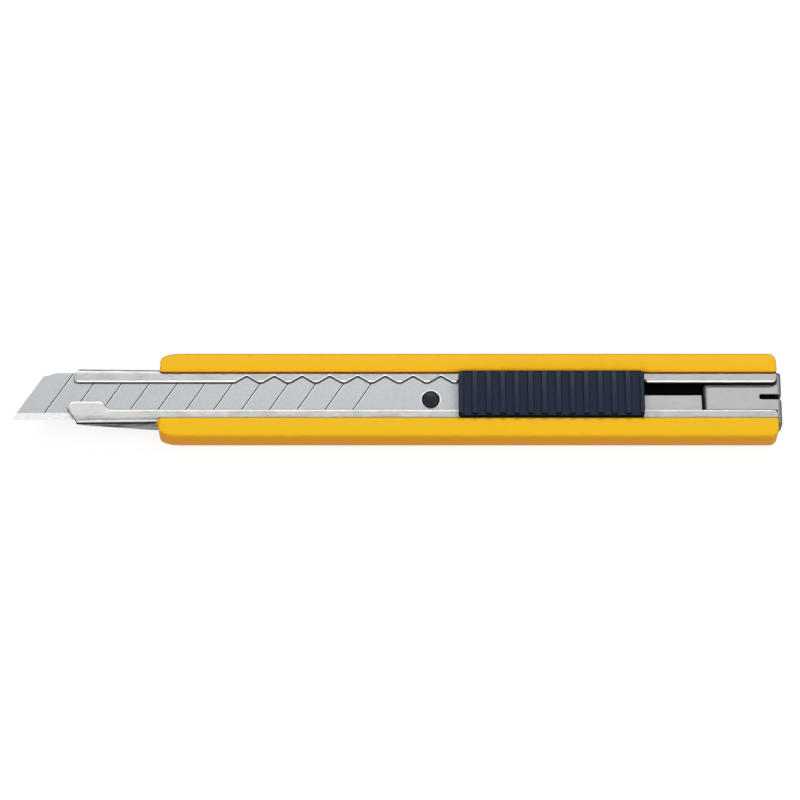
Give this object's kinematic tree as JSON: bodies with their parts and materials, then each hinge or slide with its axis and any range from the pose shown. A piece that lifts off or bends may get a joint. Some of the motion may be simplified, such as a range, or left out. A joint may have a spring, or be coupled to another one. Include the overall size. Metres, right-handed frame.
{
  "type": "snap-off knife",
  "caption": "Slim snap-off utility knife: scored blade in a folded steel channel, yellow moulded grip, ribbed dark slider with spring lock, and a steel tail clip with a snapping slot.",
  "frame": {"origin": "middle of the handle's flat back face", "axes": "+X along the knife from the blade to the tail, blade tip toward -X; cutting edge toward -Y; +Z out of the front, the side with the slider"},
  "size_m": [0.1384, 0.0162, 0.0077],
  "materials": {
    "yellow_grip": "moulded, semi-gloss",
    "stainless_sheet": "stamped sheet, satin",
    "blade_steel": "fine ground",
    "spring_steel": "stamped strip, satin",
    "dark_slider": "moulded, fine matt",
    "black_runner": "moulded, satin"
  },
  "bodies": {
    "root": {"handle": "yellow_grip", "blade_channel": "stainless_sheet"},
    "slider": {"slider_knob": "dark_slider", "blade_carrier": "black_runner", "lock_plate": "spring_steel", "blade_tang": "blade_steel", "blade_segment_02": "blade_steel", "blade_segment_03": "blade_steel", "blade_segment_04": "blade_steel", "blade_segment_05": "blade_steel", "blade_segment_06": "blade_steel", "blade_segment_07": "blade_steel", "blade_segment_08": "blade_steel", "blade_segment_09": "blade_steel", "blade_segment_10": "blade_steel", "blade_segment_11": "blade_steel", "blade_segment_12": "blade_steel"},
    "lock": {"lock_arm": "spring_steel"},
    "tip_length": {"blade_segment_01": "blade_steel"},
    "clip": {"tail_clip": "stainless_sheet"}
  },
  "joints": [
    {"name": "slider_slide", "type": "slide", "parent": "root", "child": "slider", "axis": [-1, 0, 0], "range_m": [-0.015, 0.055], "deforming": ["lock_arm"]},
    {"name": "lock_arm_flex", "type": "hinge", "parent": "slider", "child": "lock", "pos_m": [0.02465, 0.0011, 0.0056], "axis": [0, 0, 1], "range_deg": [0, 9], "stiffness_Nm_per_rad": 0.2},
    {"name": "tail_clip_pull", "type": "slide", "parent": "root", "child": "clip", "axis": [1, 0, 0], "range_m": [0, 0.04]},
    {"name": "tip_length_snap_off", "type": "slide", "parent": "slider", "child": "tip_length", "axis": [-1, 0, 0], "range_m": [0, 0.02]}
  ]
}
